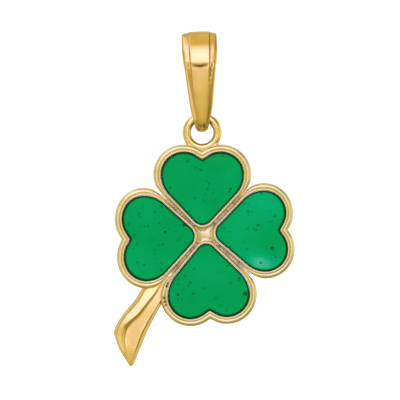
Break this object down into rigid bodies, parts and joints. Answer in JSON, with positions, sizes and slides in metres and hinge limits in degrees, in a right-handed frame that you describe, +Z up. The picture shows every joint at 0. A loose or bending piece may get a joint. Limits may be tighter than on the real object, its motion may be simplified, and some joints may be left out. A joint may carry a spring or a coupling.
{
  "type": "four leaf clover pendant",
  "caption": "Gold pendant: a tapered bail carries a clover frame with heart-shaped leaves filled with green enamel and a pointed stem.",
  "frame": {"origin": "inside top of the bail's eye, where a chain carries the pendant", "axes": "+Z up along the hanging pendant, the front faces -Y, +X to the right seen from the front"},
  "size_m": [0.0138, 0.0038, 0.025],
  "materials": {
    "bail_gold": "polished yellow gold",
    "frame_gold": "polished cast yellow gold with a dull sandy web between the rims",
    "green_enamel": "glossy translucent green enamel with fine bubbles"
  },
  "bodies": {
    "bail": {"bail": "bail_gold"},
    "clover": {"clover_frame": "frame_gold", "enamel_top": "green_enamel", "enamel_right": "green_enamel", "enamel_bottom": "green_enamel", "enamel_left": "green_enamel"}
  },
  "joints": [
    {"name": "clover_swing", "type": "hinge", "parent": "bail", "child": "clover", "pos_m": [0, 0, -0.0058], "axis": [1, 0, 0], "range_deg": [-110, 110]}
  ]
}
